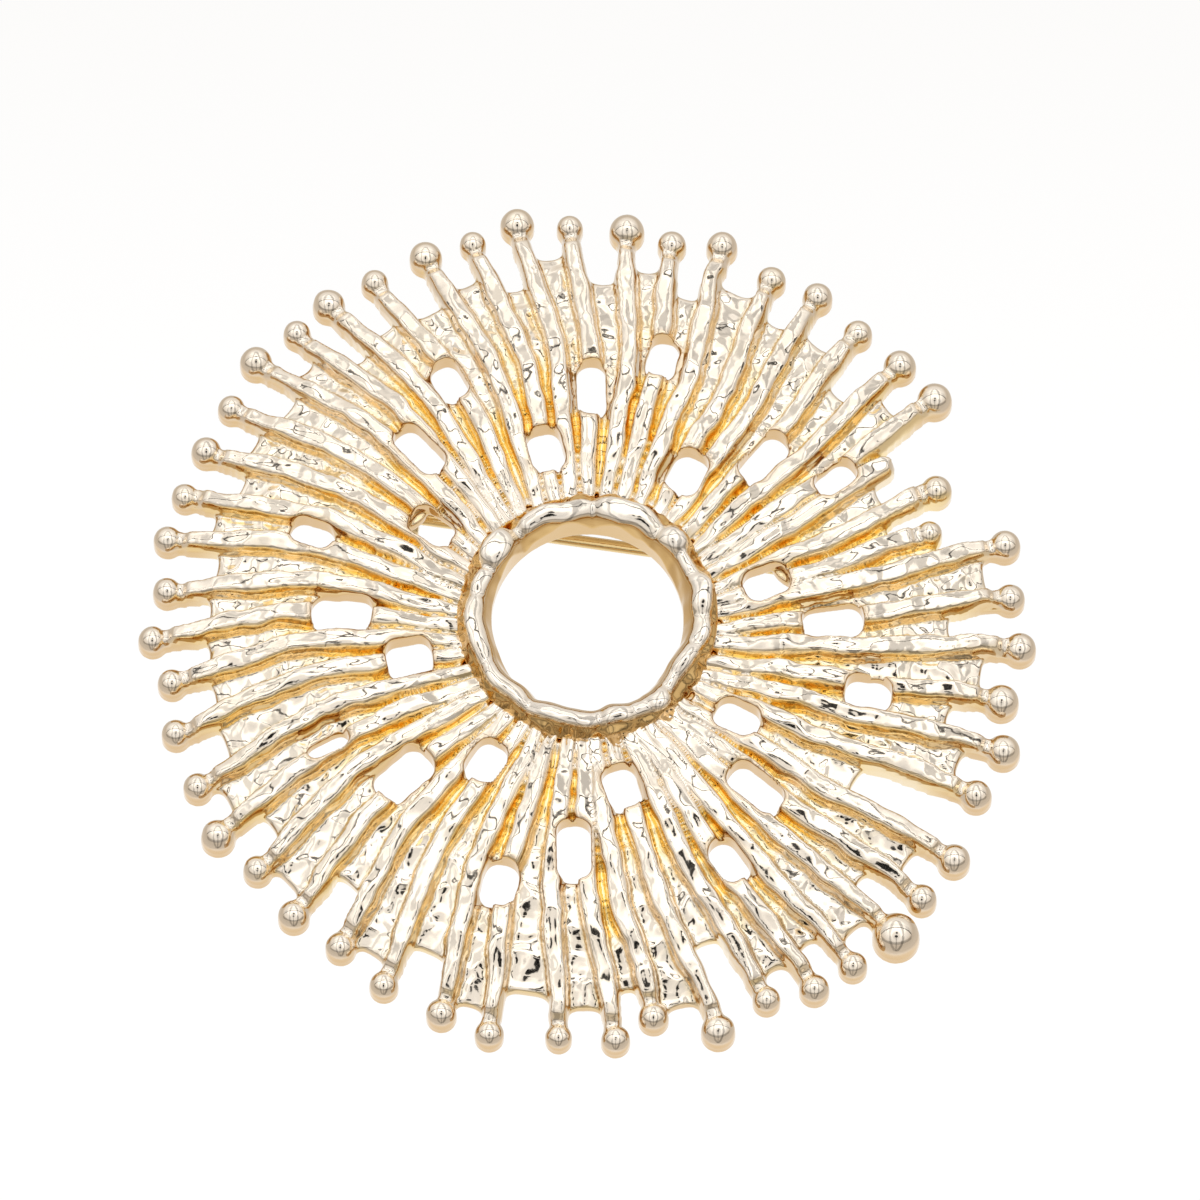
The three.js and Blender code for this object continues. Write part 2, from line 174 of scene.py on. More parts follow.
def surface_net(field, origin, step):
    """The zero surface of a 3-D field that is positive inside, as vertices in mm and outward quads."""
    inside = field > 0
    cells = tuple(n - 1 for n in field.shape)
    corners = [(i, j, k) for i in (0, 1) for j in (0, 1) for k in (0, 1)]
    count = np.zeros(cells, np.int8)
    for i, j, k in corners:
        count += inside[i:i + cells[0], j:j + cells[1], k:k + cells[2]]
    active = np.argwhere((count > 0) & (count < 8))
    index = np.full(cells, -1, np.int32)
    index[tuple(active.T)] = np.arange(len(active))
    values = [field[active[:, 0] + i, active[:, 1] + j, active[:, 2] + k] for i, j, k in corners]
    total = np.zeros((len(active), 3), np.float32)
    hits = np.zeros(len(active), np.float32)
    for a, start in enumerate(corners):
        for b, end in enumerate(corners):
            if b <= a or sum(p != q for p, q in zip(start, end)) != 1:
                continue
            crossed = (values[a] > 0) != (values[b] > 0)
            t = values[a][crossed] / (values[a][crossed] - values[b][crossed])
            total[crossed] += np.array(start) + t[:, None] * (np.array(end) - np.array(start))
            hits[crossed] += 1
    points = np.array(origin) + (active + total / hits[:, None]) * step
    quads = []
    for axis in range(3):
        side, other = (axis + 1) % 3, (axis + 2) % 3
        low = [slice(None)] * 3
        high = [slice(None)] * 3
        low[axis], high[axis] = slice(0, -1), slice(1, None)
        first, second = inside[tuple(low)], inside[tuple(high)]
        edges = np.argwhere(first != second)
        keep = (edges[:, side] > 0) & (edges[:, other] > 0)
        keep &= (edges[:, side] < cells[side]) & (edges[:, other] < cells[other])
        edges = edges[keep]
        shift_side, shift_other = np.eye(3, dtype=int)[side], np.eye(3, dtype=int)[other]
        around = [edges, edges - shift_side, edges - shift_side - shift_other, edges - shift_other]
        quad = np.stack([index[tuple(c.T)] for c in around], 1)
        outward = first[tuple(edges.T)]
        quads.append(np.where(outward[:, None], quad, quad[:, ::-1]))
    return points, np.concatenate(quads)


def summed(index, values, count):
    """The sum of the rows of values that have the same index."""
    sums = [np.bincount(index, weights=values[:, axis], minlength=count) for axis in range(3)]
    return np.stack(sums, 1)


def relaxed(points, quads, rounds, share):
    """Moves every vertex part of the way to the mean of its neighbours."""
    ends = np.concatenate([quads[:, [i, (i + 1) % 4]] for i in range(4)])
    ends = np.concatenate([ends, ends[:, ::-1]])
    degree = np.bincount(ends[:, 0], minlength=len(points))[:, None]
    for _ in range(rounds):
        mean = summed(ends[:, 0], points[ends[:, 1]], len(points)) / degree
        points = points * (1 - share) + mean * share
    return points


def vertex_normals(points, quads):
    a, b, c, d = (points[quads[:, i]] for i in range(4))
    face = np.cross(c - a, d - b)
    normals = summed(quads.ravel(), np.repeat(face, 4, axis=0), len(points))
    return normals / np.maximum(np.linalg.norm(normals, axis=1, keepdims=True), 1e-12)


def to_row(points):
    """Face-frame points in mm as row-frame points in metres."""
    return np.stack([points[:, 0], -points[:, 2], points[:, 1]], 1) * MM


def mesh_object(name, points, quads, normals, painted_reflection, painted_wall_shade):
    """A smooth mesh from face-frame arrays. Two point attributes hold painted light: how far its plating
    turns to a deeper yellow, a painted reflection of gold in gold (painted_reflection), and to a darker
    colour, painted shade on walls (painted_wall_shade)."""
    used, local = np.unique(quads, return_inverse=True)
    local = local.reshape(quads.shape)
    mesh = bpy.data.meshes.new(name)
    mesh.vertices.add(len(used))
    mesh.vertices.foreach_set("co", to_row(points[used]).astype(np.float32).ravel())
    mesh.loops.add(local.size)
    mesh.loops.foreach_set("vertex_index", local.ravel().astype(np.int32))
    mesh.polygons.add(len(local))
    mesh.polygons.foreach_set("loop_start", np.arange(0, local.size, 4, dtype=np.int32))
    mesh.update(calc_edges=True)
    mesh.polygons.foreach_set("use_smooth", np.ones(len(local), bool))
    for label, share in (("painted_reflection", painted_reflection), ("painted_wall_shade", painted_wall_shade)):
        attribute = mesh.attributes.new(label, "FLOAT", "POINT")
        attribute.data.foreach_set("value", share[used].astype(np.float32))
    row_normals = to_row(normals[used]) / MM
    mesh.normals_split_custom_set_from_vertices([tuple(n) for n in row_normals.tolist()])
    made = bpy.data.objects.new(name, mesh)
    bpy.context.scene.collection.objects.link(made)
    return made


# ---------------------------------------------------------------- what the frame says about the casting

def read_rays(node):
    """Each ray's tip as the CAD casting has it: bearing in degrees, reach and ball radius in mm."""
    points = np.array([v.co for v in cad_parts[node].data.vertices]) / MM
    x, y, h = points[:, 0], points[:, 2], -points[:, 1]
    reach = np.hypot(x, y)
    rise = h - web_front(reach)
    found = []
    for i in np.argsort(-rise):
        if rise[i] < TIP_STANDS or reach[i] < TIP_FROM:
            continue
        if all(math.hypot(x[i] - x[j], y[i] - y[j]) > TIPS_APART for j in found):
            found.append(i)
    rays = [(math.degrees(math.atan2(y[i], x[i])) % 360, reach[i], rise[i] - BALL_RISE) for i in found]
    return sorted(rays)


def read_mask(node, axis):
    """Where the CAD casting has material, looking at its face from the front."""
    tree = BVHTree.FromObject(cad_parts[node], bpy.context.evaluated_depsgraph_get())
    in_front, backward = -0.02, Vector((0, 1, 0))
    nearest, farthest = CASTING_SPAN
    mask = np.zeros((len(axis), len(axis)), bool)
    for i, x in enumerate(axis):
        for j, y in enumerate(axis):
            if nearest < math.hypot(x, y) < farthest:
                start = Vector((x * MM, in_front, y * MM))
                mask[i, j] = tree.ray_cast(start, backward)[0] is not None
    return mask


def level_of(node, front):
    """Height in mm of a node's front or back."""
    low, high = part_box(node)
    return (-low.y if front else -high.y) / MM


def centre_of(node):
    low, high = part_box(node)
    middle = (low + high) / 2
    return middle.x / MM, middle.z / MM


# ---------------------------------------------------------------- sunburst casting

def ray_line(tip, reach, radius):
    """The bearing of a ray's centre line at a radius, how fast it turns there, and the ray's length."""
    length = reach - CENTRE_HOLE
    inward = np.maximum(0, (reach - radius) / length)
    bent = np.minimum(inward / SWIRL_SHARE, 1)
    lean = LEAN * math.cos(math.radians(tip))
    line = tip - SWIRL * bent * bent * (3 - 2 * bent) - lean * inward ** LEAN_POWER
    turning = SWIRL * 6 * bent * (1 - bent) / SWIRL_SHARE + lean * LEAN_POWER * inward ** (LEAN_POWER - 1)
    return line, turning, length


def web_maps(mask, step, x, y, radius, bearing):
    """Front height and edge distance of the web, and edge distance of the windows, over the whole face."""
    nearest, farthest = WINDOW_SPAN
    hole = (radius > nearest) & (radius < farthest) & ~mask
    windows = edge_distance(hole, 0.3, step)
    web_edge = edge_distance(mask | hole, 0.45, step) - WEB_SET_BACK

    warp_x = x + 0.5 * value_noise(x * 0.9, y * 0.9, 11)
    warp_y = y + 0.5 * value_noise(x * 0.9, y * 0.9, 12)
    crumple = 0.85 * dents(warp_x * 0.43, warp_y * 0.43, 21) + 0.04 * dents(warp_x * 1.05, warp_y * 1.05, 22)
    wrinkle = 1 - 2 * np.abs(value_noise(radius * 1.1 + 0.9 * value_noise(x, y, 13), bearing * 0.14, 14))
    relief = smooth_step(12, 18, radius)
    web = web_front(radius) - 0.1
    web = web - 0.2 * smooth_step(16, 11.8, radius) + 0.35 * smooth_step(11.8, 10.8, radius)
    web = web + relief * (0.62 * (crumple - 0.25) + 0.04 * wrinkle)
    return web, web_edge, windows


def along_ray(r, number, scale, spacing, seed):
    """Noise that changes along a ray but not across it, and from one ray to the next."""
    return value_noise(r * scale, np.full_like(r, number * spacing), seed)


def ray_section(across, side, bearing):
    """A ray's section, from 1 at its crest to 0 at its edge, with the wider flank on the shown side."""
    turned = np.radians(bearing)
    shown = SHOWN_SIDE[1] * np.cos(turned) - SHOWN_SIDE[0] * np.sin(turned)
    knee = np.clip(0.58 - 0.24 * shown * np.sign(side), 0, 0.8)
    slope = np.clip((across - knee) / (1 - knee), 0, 1)
    return (1 - 0.08 * across * across) * np.clip(1 - slope ** 1.6, 0, 1) ** 0.85


def ray_hammering(r, side, width, number):
    """How far hammering, ripples and streaks lift or sink a ray's crest."""
    dimple = dents(r * 0.38 + number * 9.1, side * 0.5 + 40 + number * 3.3, 34)
    ripple = 1 - 2 * np.abs(value_noise(r * 0.8 + 0.6 * side, side * 0.7 + number * 11.3, 35))
    streak = 1 - 2 * np.abs(value_noise(r * 0.3, side * 1.7 + number * 4.7, 36))
    hammered = 0.32 * (np.minimum(dimple, 0.8) - 0.3) + 0.02 * ripple
    hammered += (0.05 + 0.07 * smooth_step(20, 12, r)) * streak
    hammered += 0.2 * along_ray(r, number, 0.45, 13.7, 37) * side / width
    return hammered


def ray_maps(rays, radius, bearing):
    """Front height and edge distance of all the rays over the whole face."""
    ray_front = np.full(radius.shape, NOWHERE, np.float32)
    ray_edge = np.full(radius.shape, NOWHERE, np.float32)
    for number, (tip, reach, ball) in enumerate(rays):
        line, turning, length = ray_line(tip, reach, radius)
        apart = (bearing - line + 180) % 360 - 180
        near = (np.radians(np.abs(apart)) * radius < RAY_REGION) & (radius < reach + 1.2) & (radius > 9.5)
        r, off = radius[near], apart[near]
        gradient = np.radians(turning[near]) / length * r
        wobble = 0.13 * along_ray(r, number, 0.45, 7.3, 31)
        wobble += 0.05 * along_ray(r, number, 1.1, 2.9, 38)
        side = np.radians(off) * r / np.sqrt(1 + gradient * gradient) + wobble
        past = np.maximum(0, r - reach)
        pitch = 2 * math.pi * r / len(rays)
        stem = smooth_step(29.5, 32, r)
        width = np.minimum(RAY_HALF_WIDTH + (STEM_HALF_WIDTH - RAY_HALF_WIDTH) * stem, 0.5 * pitch)
        width = width * (1 + 0.10 * along_ray(r, number, 0.8, 3.7, 32))
        before_ball = reach - r - ball
        bead = ball > LEAST_BEAD
        neck = np.exp(-((before_ball - 0.05) / 0.32) ** 2) if bead else 0
        width = width * (1 - 0.10 * neck)
        across = np.hypot(side, past) / width
        rise = RAY_RISE * (0.38 + 0.62 * smooth_step(10.5, 17, r))
        rise = rise * (1 + 0.12 * along_ray(r, number, 0.5, 5.1, 33))
        rise = rise - 0.38 * neck
        if bead:
            rise = rise * (1 - 0.5 * smooth_step(-0.1, 0.5 * ball, -before_ball))
        section = ray_section(across, side, bearing[near])
        crest = web_front(r) + rise * section + section * ray_hammering(r, side, width, number)
        ray_front[near] = np.maximum(ray_front[near], np.where(across < 1, crest, NOWHERE))
        ray_edge[near] = np.maximum(ray_edge[near], width - np.hypot(side, past))
    return ray_front, ray_edge


def casting_field(web_map, ray_map, radius, x, y, heights):
    """The casting without its beads as a 3-D field, layer by layer: web, rays and the two bosses behind."""
    web, web_edge, windows = web_map
    ray_front, ray_edge = ray_map
    back = web_front(radius) - WEB_THICKNESS + 0.06 * value_noise(x * 0.5, y * 0.5, 41)
    patches = ("hinge_patch", "catch_patch")
    bosses = [(*centre_of(node), level_of(node, True) + SOLDER_GAP) for node in patches]
    field = np.empty((*x.shape, len(heights)), np.float32)
    for n, h in enumerate(heights):
        sheet = smooth_min(smooth_min(web - h, h - back, 0.2), web_edge, 0.35)
        body = ray_edge + 0.06 * (ray_front - h)
        ray = smooth_min(smooth_min(ray_front - h, h - back, 0.25), body, 0.22)
        layer = smooth_max(sheet, ray, 0.08)
        layer = smooth_min(layer, -windows, 0.25)
        layer = smooth_min(layer, radius - CENTRE_HOLE + UNDER_COLLAR, 0.1)
        for bx, by, level in bosses:
            within = min(h - level, level + BOSS_DEPTH - h)
            boss = smooth_min(BOSS_RADIUS - np.hypot(x - bx, y - by), np.full_like(x, within), 0.15)
            layer = np.maximum(layer, boss)
        field[:, :, n] = layer
    return field


def add_beads(field, rays, x, y, heights):
    """Joins a ball, and the plug of metal behind it, to the tip of each beaded ray in the field."""
    origin, step = x[0, 0], x[1, 0] - x[0, 0]
    for number, (tip, reach, ball) in enumerate(rays):
        if ball < LEAST_BEAD:
            continue
        cx, cy = reach * math.cos(math.radians(tip)), reach * math.sin(math.radians(tip))
        centre = web_front(reach) + BALL_RISE
        i0, i1 = (int((c - ball - BEAD_MARGIN - origin) / step) for c in (cx, cy))
        span = int((2 * ball + 2 * BEAD_MARGIN) / step) + 2
        block = (slice(i0, i0 + span), slice(i1, i1 + span))
        bx, by = x[block][:, :, None] - cx, y[block][:, :, None] - cy
        bh = heights[None, None, :] - centre
        uneven = 0.03 * value_noise(bx * 0.9 + number * 5, by * 0.9 + bh * 0.7, 51)
        sphere = ball - 0.02 + uneven - np.sqrt(bx * bx + by * by + bh * bh)
        flat = np.hypot(bx, by)
        depth = np.clip(-bh / 1.8, 0, 1)
        skirt = smooth_min(ball * (0.97 + 0.10 * depth) - flat, -0.12 - bh, 0.5)
        skirt = smooth_min(skirt, heights[None, None, :] - (web_front(reach) - WEB_THICKNESS), 0.6)
        field[block] = smooth_max(field[block], smooth_max(sphere, skirt, 0.35) - 0.05, 0.07)


def shut_in(points, normals, front, origin, step):
    """How shut in each vertex is by the relief around it, from 0 in the open to 1 in a crease."""
    total = np.zeros(len(points))
    for angle in np.arange(0, 360, 45):
        dx, dy = math.cos(math.radians(angle)), math.sin(math.radians(angle))
        facing = np.clip(normals[:, 0] * dx + normals[:, 1] * dy, 0, 1) + 0.25
        highest = np.zeros(len(points))
        for distance in (0.3, 0.55, 0.9):
            there = lookup(front, origin, step, points[:, 0] + dx * distance, points[:, 1] + dy * distance)
            highest = np.maximum(highest, (there - points[:, 2] - 0.08) / distance)
        total += facing * np.clip(highest, 0, 2)
    return np.clip(total / 4.5, 0, 1)


def casting_painted_light(points, normals, front, windows, origin, step):
    """Painted light at each vertex of the casting: how much painted reflection (deeper yellow) and painted
    wall shade it gets.
    """
    flat_radius = np.hypot(points[:, 0], points[:, 1])
    behind = normals[:, 2] < -0.5
    shown = normals[:, 0] * SHOWN_SIDE[0] + normals[:, 1] * SHOWN_SIDE[1]
    patchy = 0.7 + 0.3 * value_noise(points[:, 0] * 0.4, points[:, 1] * 0.4, 39)
    # painted reflection: flanks facing the shown side, and less so those facing away, get the deeper yellow
    # of gold mirrored in gold
    flank_reflection = np.maximum(smooth_step(0.35, 0.75, shown), 0.7 * smooth_step(0.5, 0.9, -shown))
    flank_reflection = flank_reflection * smooth_step(34.5, 32.0, flat_radius) * patchy
    # painted reflection in creases: the more shut in a vertex is, the deeper its yellow
    painted_reflection = 0.85 * smooth_step(0.16, 0.75, shut_in(points, normals, front, origin, step))
    painted_reflection = np.where(behind, 0.25, np.maximum(painted_reflection, 0.8 * flank_reflection))
    by_window = smooth_step(-0.7, -0.15, lookup(windows, origin, step, points[:, 0], points[:, 1]))
    # painted shade: darker on steep walls, most on the shown side, towards the outer edge and by the windows
    shade = (0.45 + 0.4 * smooth_step(-0.5, 0.5, shown)) * (0.1 + 0.9 * smooth_step(29, 32.5, flat_radius))
    painted_wall_shade = smooth_step(0.5, 0.05, normals[:, 2]) * np.maximum(shade, by_window)
    painted_wall_shade = np.where(behind, 0.1, np.maximum(painted_wall_shade, 0.35 * by_window))
    return painted_reflection, painted_wall_shade


def make_casting(material):
    node = "sunburst_casting"
    rays = read_rays(node)
    axis = np.arange(-FIELD_REACH, FIELD_REACH + CASTING_STEP, CASTING_STEP)
    mask = read_mask(node, axis)
    x, y = (a.astype(np.float32) for a in np.meshgrid(axis, axis, indexing="ij"))
    radius = np.hypot(x, y)
    bearing = np.degrees(np.arctan2(y, x))
    web_map = web_maps(mask, CASTING_STEP, x, y, radius, bearing)
    ray_map = ray_maps(rays, radius, bearing)
    heights = np.arange(*CASTING_HEIGHTS, CASTING_STEP).astype(np.float32)
    field = casting_field(web_map, ray_map, radius, x, y, heights)
    add_beads(field, rays, x, y, heights)
    points, quads = surface_net(field, (axis[0], axis[0], heights[0]), CASTING_STEP)
    points = relaxed(points, quads, 1, 0.35)
    points[:, 2] = np.maximum(points[:, 2], level_of(node, False))
    normals = vertex_normals(points, quads)
    solid = field > 0
    topmost = heights[len(heights) - 1 - solid[:, :, ::-1].argmax(2)]
    front = np.where(solid.any(2), topmost, -1).astype(np.float32)
    painted_reflection, painted_wall_shade = casting_painted_light(points, normals, front, web_map[2], axis[0], CASTING_STEP)
    corner = points[quads[:, 0]]
    turn = np.degrees(np.arctan2(corner[:, 1], corner[:, 0])) + 180
    sector = np.floor(turn / 360 * SECTORS) % SECTORS
    for part in range(SECTORS):
        made = mesh_object(f"casting_sector_{part + 1}", points, quads[sector == part], normals, painted_reflection, painted_wall_shade)
        made.data.materials.append(material)
        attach(made, "brooch")
        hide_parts(node)


# ---------------------------------------------------------------- collar

# Each lump of the collar: bearing of its middle, half its length in degrees, half its width, and how much
# further than LUMP_RISE and LUMP_STAND its top and its outer side stand out, in mm.
LUMPS = [
    (151.5, 11.5, 0.98, 0.00, 0.55), (171.5, 8.5, 0.60, -0.35, 0.05), (197.5, 20.0, 0.70, -0.05, 0.15),
    (231.0, 17.0, 0.64, -0.20, 0.00), (266.5, 20.5, 0.60, -0.25, 0.10), (294.0, 9.5, 0.56, -0.15, 0.45),
    (306.5, 6.5, 0.52, -0.45, 0.20), (316.0, 7.0, 0.68, -0.15, 0.40), (327.0, 6.5, 0.50, -0.55, 0.00),
    (342.0, 11.0, 0.60, -0.15, 0.20), (359.0, 9.5, 0.60, -0.35, 0.35), (18.0, 12.5, 0.76, -0.05, 0.25),
    (36.5, 8.0, 0.50, -0.45, -0.10), (50.5, 8.5, 0.84, -0.05, 0.45), (76.5, 19.5, 0.92, 0.00, 0.15),
    (115.5, 20.5, 0.78, -0.05, 0.05),
]


def make_collar(material):
    node = "collar_ring"
    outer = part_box(node)[1].x / MM
    lip, back = level_of(node, True), level_of(node, False)
    axis = np.arange(-outer - 0.6, outer + 0.6, COLLAR_STEP)
    heights = np.arange(back - 0.4, lip + 0.5, COLLAR_STEP).astype(np.float32)
    x, y = (a.astype(np.float32) for a in np.meshgrid(axis, axis, indexing="ij"))
    radius = np.hypot(x, y)
    bearing = np.degrees(np.arctan2(y, x))
    round_x, round_y = np.cos(np.radians(bearing)), np.sin(np.radians(bearing))
    sway = 0.30 * value_noise(round_x * 2.6 + 9, round_y * 2.6 + 9, 61)
    sway += 0.22 * value_noise(round_x * 5.5 + 20, round_y * 5.5 + 20, 66)
    top = np.full(x.shape, lip - RIM_DROP, np.float32)
    half = np.full(x.shape, RIM_HALF_WIDTH, np.float32)
    proud = np.zeros_like(x)
    for where, reach, width, rise, stand in LUMPS:
        u = np.abs((bearing - where + 180) % 360 - 180) / reach
        body = np.clip(1 - u ** 2.4, 0, 1) ** 0.6
        half = np.maximum(half, RIM_HALF_WIDTH + (width - RIM_HALF_WIDTH) * body)
        top = np.maximum(top, lip - RIM_DROP + (LUMP_RISE + rise) * body)
        bulge = (stand + LUMP_STAND) * body
        proud = np.where(np.abs(proud) > np.abs(bulge), proud, bulge)
    soft = 0.16 / COLLAR_STEP
    half, top, proud = (blurred(a, soft) for a in (half, top, proud))
    dimple = 0.12 * value_noise(x * 0.7, y * 0.7, 62) + 0.02 * value_noise(x * 1.9, y * 1.9, 63)
    ridged = 1 - 2 * np.abs(value_noise(round_x * 14 + 30, round_y * 14 + 30, 64))
    field = np.empty((*x.shape, len(heights)), np.float32)
    for n, h in enumerate(heights):
        drop = np.clip((top - h) / (lip - CROWN_LEVEL), 0, 1)
        sink = np.clip((top - h) / (lip - back), 0, 1)
        flare = 1.1 * drop ** (1.5 + 1.2 * np.maximum(0, round_y))
        flare = flare - 0.20 * np.exp(-((drop - 0.26) / 0.10) ** 2)
        fold = value_noise(round_x * 7 + 50 + 0.5 * h, round_y * 7 + 50, 65)
        flare = flare + (0.16 * ridged + 0.45 * fold) * smooth_step(0.15, 0.5, drop)
        wide = COLLAR_CREST + sway + half + 0.7 * proud + flare
        outside = np.minimum(wide, outer + 0.25 * sink) - radius
        inside = radius - (COLLAR_CREST + sway - half + 0.25 * proud)
        inside = inside + 1.25 * sink ** 0.8 + 0.10 * fold * np.sin(np.pi * sink)
        inside = np.minimum(inside, radius - COLLAR_BORE + 0.05)
        section = smooth_min(outside, inside, 0.45)
        layer = smooth_min(section, top + dimple - h, 0.8)
        field[:, :, n] = smooth_min(layer, np.full_like(x, h - back), 0.12)
    points, quads = surface_net(field, (axis[0], axis[0], heights[0]), COLLAR_STEP)
    points = relaxed(points, quads, 2, 0.4)
    points[:, 2] = np.clip(points[:, 2], back, lip)
    normals = vertex_normals(points, quads)
    # painted shade on the walls below the lip's top, and a painted deeper-yellow reflection on steep faces
    local = np.minimum(lookup(top, axis[0], COLLAR_STEP, points[:, 0], points[:, 1]), lip)
    painted_wall_shade = smooth_step(0.32, 0.62, local - points[:, 2])
    painted_wall_shade = np.where(normals[:, 2] < -0.5, 0.3, painted_wall_shade)
    painted_reflection = 0.25 * smooth_step(0.9, 0.4, normals[:, 2])
    made = mesh_object("collar", points, quads, normals, painted_reflection, painted_wall_shade)
    made.data.materials.append(material)
    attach(made, "brooch")
    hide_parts(node)


# ---------------------------------------------------------------- pin fitting

def make_fitting(name, node, body, material, bevel):
    """A CAD piece with its edges broken and its round faces smooth."""
    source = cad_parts[node]
    mesh = source.data.copy()
    mesh.name = name
    work = bmesh.new()
    work.from_mesh(mesh)
    bmesh.ops.remove_doubles(work, verts=work.verts, dist=1e-6)
    bmesh.ops.dissolve_limit(work, angle_limit=math.radians(1), verts=work.verts, edges=work.edges)
    sharp = [e for e in work.edges if len(e.link_faces) == 2 and e.calc_face_angle(0) > math.radians(35)]
    bmesh.ops.bevel(
        work, geom=sharp, offset=bevel * MM, segments=2, profile=0.6, affect="EDGES", clamp_overlap=True
    )
    bmesh.ops.triangulate(work, faces=work.faces)
    work.to_mesh(mesh)
    work.free()
    for attribute in [a.name for a in mesh.attributes if a.name == "custom_normal"]:
        mesh.attributes.remove(mesh.attributes[attribute])
    mesh.polygons.foreach_set("use_smooth", np.ones(len(mesh.polygons), bool))
    mesh.set_sharp_from_angle(angle=math.radians(40))
    mesh.materials.clear()
    mesh.materials.append(material)
    made = bpy.data.objects.new(name, mesh)
    bpy.context.scene.collection.objects.link(made)
    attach(made, body)
    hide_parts(node)


# ---------------------------------------------------------------- materials

MIX_FIRST, MIX_SECOND, MIX_RESULT = 6, 7, 2    # the colour sockets of a Mix node


def node_of(tree, kind, **inputs):
    made = tree.nodes.new(kind)
    for name, value in inputs.items():
        made.inputs[name].default_value = value
    return made


def gold_plate(name, pale, deep, side, roughness, bump, scale, with_painted_light):
    """Bright pale gold plate with fine unevenness and random blotches of deeper tone. With painted light it
    also turns to a deeper yellow in creases (painted reflection) and darker on walls (painted shade).
    """
    material = bpy.data.materials.new(name)
    material.use_nodes = True
    tree = material.node_tree
    shader = tree.nodes["Principled BSDF"]
    shader.inputs["Metallic"].default_value = 1.0
    place = node_of(tree, "ShaderNodeTexCoord")
    blotch = node_of(tree, "ShaderNodeTexNoise", Scale=320.0, Detail=2.0)
    grain = node_of(tree, "ShaderNodeTexNoise", Scale=scale, Detail=3.0, Roughness=0.55)
    for texture in (blotch, grain):
        tree.links.new(place.outputs["Object"], texture.inputs["Vector"])

    mix = node_of(tree, "ShaderNodeMix")
    mix.data_type = "RGBA"
    mix.inputs[MIX_FIRST].default_value = (*pale, 1)
    mix.inputs[MIX_SECOND].default_value = (*deep, 1)
    limits = {"From Min": 0.35, "From Max": 0.75, "To Min": -0.06, "To Max": 0.08}
    spread = node_of(tree, "ShaderNodeMapRange", **limits)
    tree.links.new(blotch.outputs["Fac"], spread.inputs["Value"])
    add = node_of(tree, "ShaderNodeMath")
    add.operation = "ADD"
    add.use_clamp = True
    tree.links.new(spread.outputs["Result"], add.inputs[0])
    # painted reflection: the attribute turns the gold to a deeper yellow in creases and on flanks
    if with_painted_light:
        painted_reflection = node_of(tree, "ShaderNodeAttribute")
        painted_reflection.attribute_name = "painted_reflection"
        tree.links.new(painted_reflection.outputs["Fac"], add.inputs[1])
    else:
        add.inputs[1].default_value = 0.12
    tree.links.new(add.outputs["Value"], mix.inputs["Factor"])
    colour = mix.outputs[MIX_RESULT]
    # painted shade: the wall attribute darkens the colour on walls
    if with_painted_light:
        wall_shade_mix = node_of(tree, "ShaderNodeMix")
        wall_shade_mix.data_type = "RGBA"
        wall_shade_mix.inputs[MIX_SECOND].default_value = (*side, 1)
        painted_wall_shade = node_of(tree, "ShaderNodeAttribute")
        painted_wall_shade.attribute_name = "painted_wall_shade"
        tree.links.new(painted_wall_shade.outputs["Fac"], wall_shade_mix.inputs["Factor"])
        tree.links.new(colour, wall_shade_mix.inputs[MIX_FIRST])
        colour = wall_shade_mix.outputs[MIX_RESULT]
    tree.links.new(colour, shader.inputs["Base Color"])

    limits = {"To Min": roughness - 0.03, "To Max": roughness + 0.05}
    worn = node_of(tree, "ShaderNodeMapRange", **limits)
    tree.links.new(grain.outputs["Fac"], worn.inputs["Value"])
    tree.links.new(worn.outputs["Result"], shader.inputs["Roughness"])

    dent = node_of(tree, "ShaderNodeBump", Strength=bump, Distance=0.00012)
    tree.links.new(grain.outputs["Fac"], dent.inputs["Height"])
    tree.links.new(dent.outputs["Normal"], shader.inputs["Normal"])
    return material


# pale plating; the deeper yellow of painted reflection, also used for random blotches; the painted shade on
# walls
PALE, BLOTCH_AND_REFLECTION_GOLD, WALL_SHADE_GOLD = (0.86, 0.765, 0.645), (0.93, 0.70, 0.27), (0.64, 0.41, 0.17)
COLLAR_PALE, COLLAR_WALL_SHADE_GOLD = (0.82, 0.74, 0.64), (0.67, 0.44, 0.18)
casting_gold = gold_plate("casting_gold", PALE, BLOTCH_AND_REFLECTION_GOLD, WALL_SHADE_GOLD, 0.07, 0.15, 600.0, True)
collar_gold = gold_plate("collar_gold", COLLAR_PALE, BLOTCH_AND_REFLECTION_GOLD, COLLAR_WALL_SHADE_GOLD, 0.07, 0.15, 600.0, True)
FITTING_PALE, FITTING_DEEP = (0.84, 0.66, 0.38), (0.74, 0.52, 0.22)
fitting_gold = gold_plate("fitting_gold", FITTING_PALE, FITTING_DEEP, WALL_SHADE_GOLD, 0.2, 0.35, 1500.0, False)
wire_gold = gold_plate("wire_gold", (0.82, 0.61, 0.30), (0.68, 0.45, 0.16), WALL_SHADE_GOLD, 0.16, 0.2, 1800.0, False)

make_casting(casting_gold)
make_collar(collar_gold)
for name, node, body, bevel in (
    ("hinge_patch_disc", "hinge_patch", "brooch", 0.08),
    ("hinge_bracket_sheet", "hinge_bracket", "brooch", 0.07),
    ("hinge_rivet_peened", "hinge_rivet", "brooch", 0.12),
    ("catch_patch_disc", "catch_patch", "brooch", 0.08),
    ("catch_barrel_open", "catch_barrel", "brooch", 0.06),
    ("catch_rotor_sleeve", "catch_rotor", "catch", 0.06),
):
    make_fitting(name, node, body, fitting_gold, bevel)
make_fitting("pin_stem_wire", "pin_stem", "pin", wire_gold, 0.05)

# ---------------------------------------------------------------- studio

